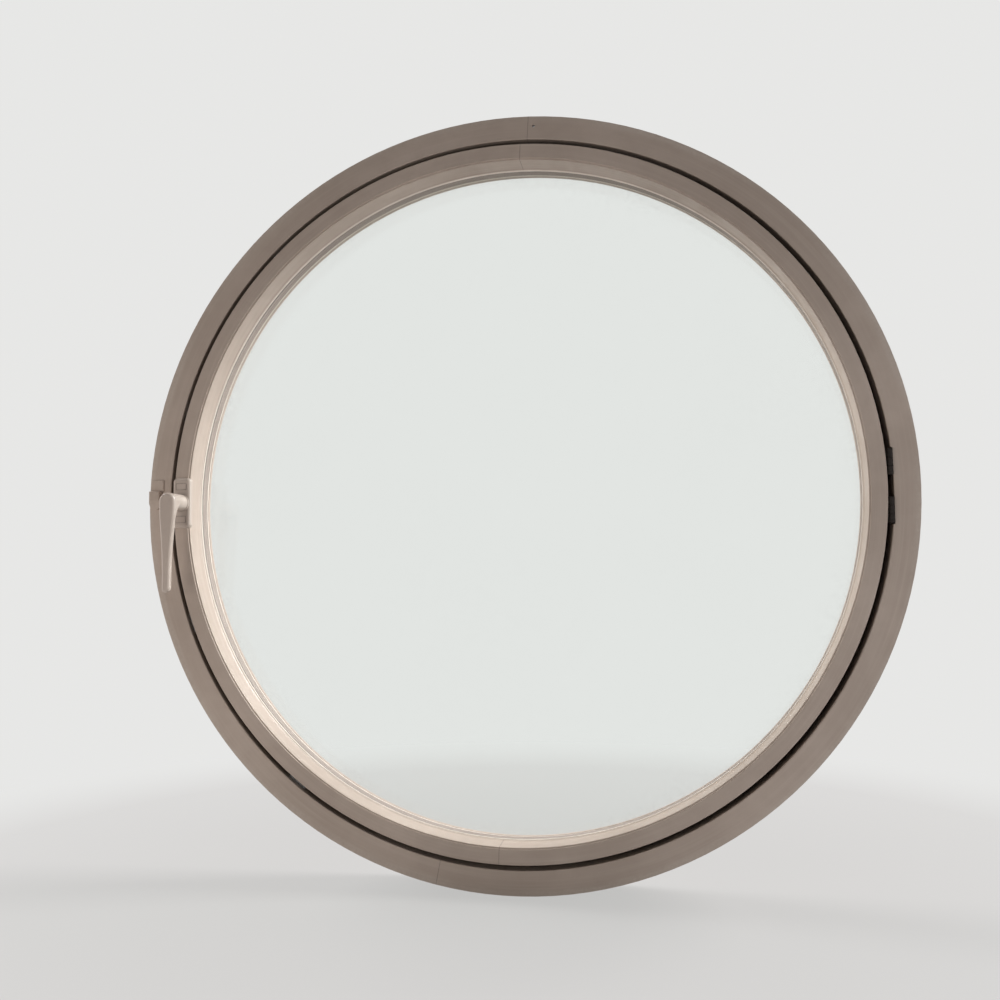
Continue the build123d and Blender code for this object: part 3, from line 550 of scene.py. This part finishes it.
def spacer_section():
    """The spacer's section as radius and Y, a hair clear of the panes, bevelled and grooved in its middle."""
    low, high = SPACER_LOW.y + PANE_CLEARANCE, SPACER_HIGH.y - PANE_CLEARANCE
    middle, half = (low + high) / 2, SPACER_GROOVE / 2
    inner = SPACER_R - SPACER_HEIGHT
    sunk = inner + SPACER_GROOVE_SINK
    return [(SPACER_R, low), (inner + SPACER_BEVEL, low), (inner, low + SPACER_BEVEL),
            (inner, middle - half), (sunk, middle - half / 2), (sunk, middle + half / 2),
            (inner, middle + half), (inner, high - SPACER_BEVEL), (inner + SPACER_BEVEL, high),
            (SPACER_R, high)]


def make_spacer(finish):
    """Spacer ring between the panes."""
    section = spacer_section()
    points, faces = [], []
    for step in range(RING_STEPS):
        turn = 2 * math.pi * step / RING_STEPS
        points += [(r * math.cos(turn), y, r * math.sin(turn)) for r, y in section]
        faces += bridge(step * len(section), (step + 1) % RING_STEPS * len(section), len(section))
    stand_for(meshed("spacer_ring", points, faces), "spacer_bar", finish)


def loose_groups(node):
    """The separate solids of a CAD node, each as an array of its points."""
    work = bmesh.new()
    work.from_mesh(nodes[node].data)
    bmesh.ops.remove_doubles(work, verts=work.verts, dist=SAME_POINT)
    left, groups = set(work.verts), []
    while left:
        group, front = set(), [left.pop()]
        while front:
            vert = front.pop()
            if vert not in group:
                group.add(vert)
                front += [edge.other_vert(vert) for edge in vert.link_edges]
        left -= group
        groups.append(np.array(sorted(tuple(vert.co) for vert in group)))
    work.free()
    return sorted(groups, key=lambda points: tuple(points.mean(axis=0).round(5)))


def screw_shape(points):
    """A screw's head centre, direction from head to tip, length, head radius and shank radius."""
    middle = (points.min(axis=0) + points.max(axis=0)) / 2
    axis = np.linalg.svd(points - middle)[2][0]
    along = (points - middle) @ axis
    off = np.linalg.norm(points - middle - np.outer(along, axis), axis=1)
    if along[off.argmax()] > 0:
        axis, along = -axis, -along
    return middle + axis * along.min(), axis, along.max() - along.min(), off.max(), off[along.argmax()]


def cross_outline():
    """Outline of the cross recess, for a head of radius 1, with each side split so that it bridges well."""
    corners = []
    for quarter in range(4):
        turn = Matrix.Rotation(quarter * math.pi / 2, 2)
        for corner in ((RECESS_LENGTH, -RECESS_HALF_WIDTH), (RECESS_LENGTH, RECESS_HALF_WIDTH),
                       (RECESS_HALF_WIDTH, RECESS_HALF_WIDTH)):
            corners.append(turn @ Vector(corner))
    outline = []
    for corner, following in zip(corners, corners[1:] + corners[:1]):
        outline += [corner.lerp(following, i / RECESS_SPLITS) for i in range(RECESS_SPLITS)]
    return outline


def screw_loops(length, head_r, shank_r):
    """A screw's loops from the recess's bottom over the rim to the tip, as outline, radius and depth."""
    cross = cross_outline()
    circle = [point.normalized() for point in cross]
    return [(cross, head_r * RECESS_TAPER, RECESS_DEPTH), (cross, head_r, 0.0),
            (circle, head_r - SCREW_RIM, 0.0), (circle, head_r, SCREW_RIM),
            (circle, shank_r, SCREW_HEAD_DEPTH), (circle, shank_r, length - shank_r),
            (circle, shank_r * SCREW_TIP_SHARE, length)]


def make_screws(node, finish):
    """Countersunk screws of a CAD group, with a cross recess in each head and a pointed tip."""
    points, faces = [], []
    for solid in loose_groups(node):
        head, axis, length, head_r, shank_r = screw_shape(solid)
        head, axis = Vector(head), Vector(axis)
        side = axis.orthogonal().normalized()
        other = axis.cross(side)
        loops = screw_loops(length, head_r, shank_r)
        count = len(loops[0][0])
        first = len(points)
        for outline, radius, depth in loops:
            points += [head + axis * depth + (side * p.x + other * p.y) * radius for p in outline]
        for i in range(len(loops) - 1):
            faces += bridge(first + i * count, first + (i + 1) * count, count)
        for loop, depth in ((0, RECESS_DEPTH), (len(loops) - 1, length)):
            start, centre = first + loop * count, len(points)
            points.append(head + axis * depth)
            faces += [(start + i, start + (i + 1) % count, centre) for i in range(count)]
    stand_for(meshed(f"{node}_recessed", points, faces), node, finish)


def make_floor():
    """Pale floor that the ring stands on; far out it takes the backdrop's tone."""
    bpy.ops.mesh.primitive_plane_add(size=FLOOR_SIZE, location=(0, 0, cad_box[0].z))
    floor = bpy.context.object
    floor.name = "studio_floor"
    tree = material_tree("studio_floor")
    place = find_place(tree)
    far = tree.ramp(tree.length(place.x, place.y), low=FLOOR_FADE_START, high=FLOOR_FADE_END)
    glow = tree.node("ShaderNodeEmission", {"Color": tree.mix(far, FLOOR_TONE, BACKDROP)})
    matt = tree.node("ShaderNodeBsdfDiffuse", {"Color": FLOOR_COLOUR})
    share = tree.math("MULTIPLY", tree.seen(), tree.math("MAXIMUM", far, FLOOR_EVENNESS))
    wear(floor, tree.surface(tree.either(share, matt, glow)))


def make_world():
    """Soft even light, seen as a pale backdrop."""
    tree = Tree(bpy.data.worlds.new("studio"), "ShaderNodeOutputWorld")
    light = tree.node("ShaderNodeBackground", {"Color": AMBIENT, "Strength": AMBIENT_STRENGTH})
    backdrop = tree.node("ShaderNodeBackground", {"Color": BACKDROP})
    bpy.context.scene.world = tree.surface(tree.either(tree.seen(), light, backdrop))


def make_lamp(name, at, aim, side, power, colour, mirrored=True):
    """Square soft lamp that isn't itself seen, nor mirrored if that is switched off."""
    lamp = bpy.data.lights.new(name, "AREA")
    lamp.shape = "SQUARE"
    lamp.size = side
    lamp.energy = power
    lamp.color = colour
    body = bpy.data.objects.new(name, lamp)
    bpy.context.scene.collection.objects.link(body)
    body.location = at
    body.rotation_euler = (Vector(aim) - Vector(at)).to_track_quat("-Z", "Y").to_euler()
    body.visible_camera = False
    body.visible_transmission = False
    body.visible_glossy = mirrored


def make_lamps():
    """Daylight high and low on the right, skylight on the left, and two weak lamps in the room."""
    make_lamp("daylight", at=(5.8, 2.4, 5.0), aim=CENTRE, side=3.5, power=1060.0, colour=DAYLIGHT)
    make_lamp("daylight_low", at=(6.4, 1.8, 1.2), aim=CENTRE, side=3.0, power=268.0, colour=DAYLIGHT)
    make_lamp("skylight", at=(-5.6, 2.0, 3.2), aim=CENTRE, side=3.5, power=730.0, colour=DAYLIGHT,
              mirrored=False)
    make_lamp("room_left", at=(-0.75, -0.95, -0.2), aim=(-0.35, 0.0, -0.5), side=0.5, power=3.4,
              colour=(1.0, 0.93, 0.87), mirrored=False)
    make_lamp("room_right", at=(1.0, -1.0, -0.2), aim=(0.4, 0.0, -0.4), side=0.5, power=4.1,
              colour=(0.93, 0.96, 1.0), mirrored=False)


def make_camera():
    """Camera at the photograph's place."""
    camera = bpy.data.cameras.new("camera")
    camera.lens = FOCAL_LENGTH
    camera.sensor_width = SENSOR
    body = bpy.data.objects.new("camera", camera)
    bpy.context.scene.collection.objects.link(body)
    body.matrix_world = (Matrix.Rotation(CAMERA_ROLL, 4, "Y") @ Matrix.Translation(CAMERA_PLACE)
                         @ Matrix.Rotation(CAMERA_YAW, 4, "Z")
                         @ Matrix.Rotation(math.pi / 2 + CAMERA_PITCH, 4, "X"))
    bpy.context.scene.camera = body


slot_finishes = make_finishes()
finish_nodes(slot_finishes)
make_spacer(slot_finishes["spacer"])
for group in ("keep_screws", "hinge_screws_frame", "hinge_screws_sash"):
    make_screws(group, slot_finishes["screws"])
make_floor()
make_world()
make_lamps()
make_camera()
bpy.context.scene.view_settings.view_transform = "Standard"
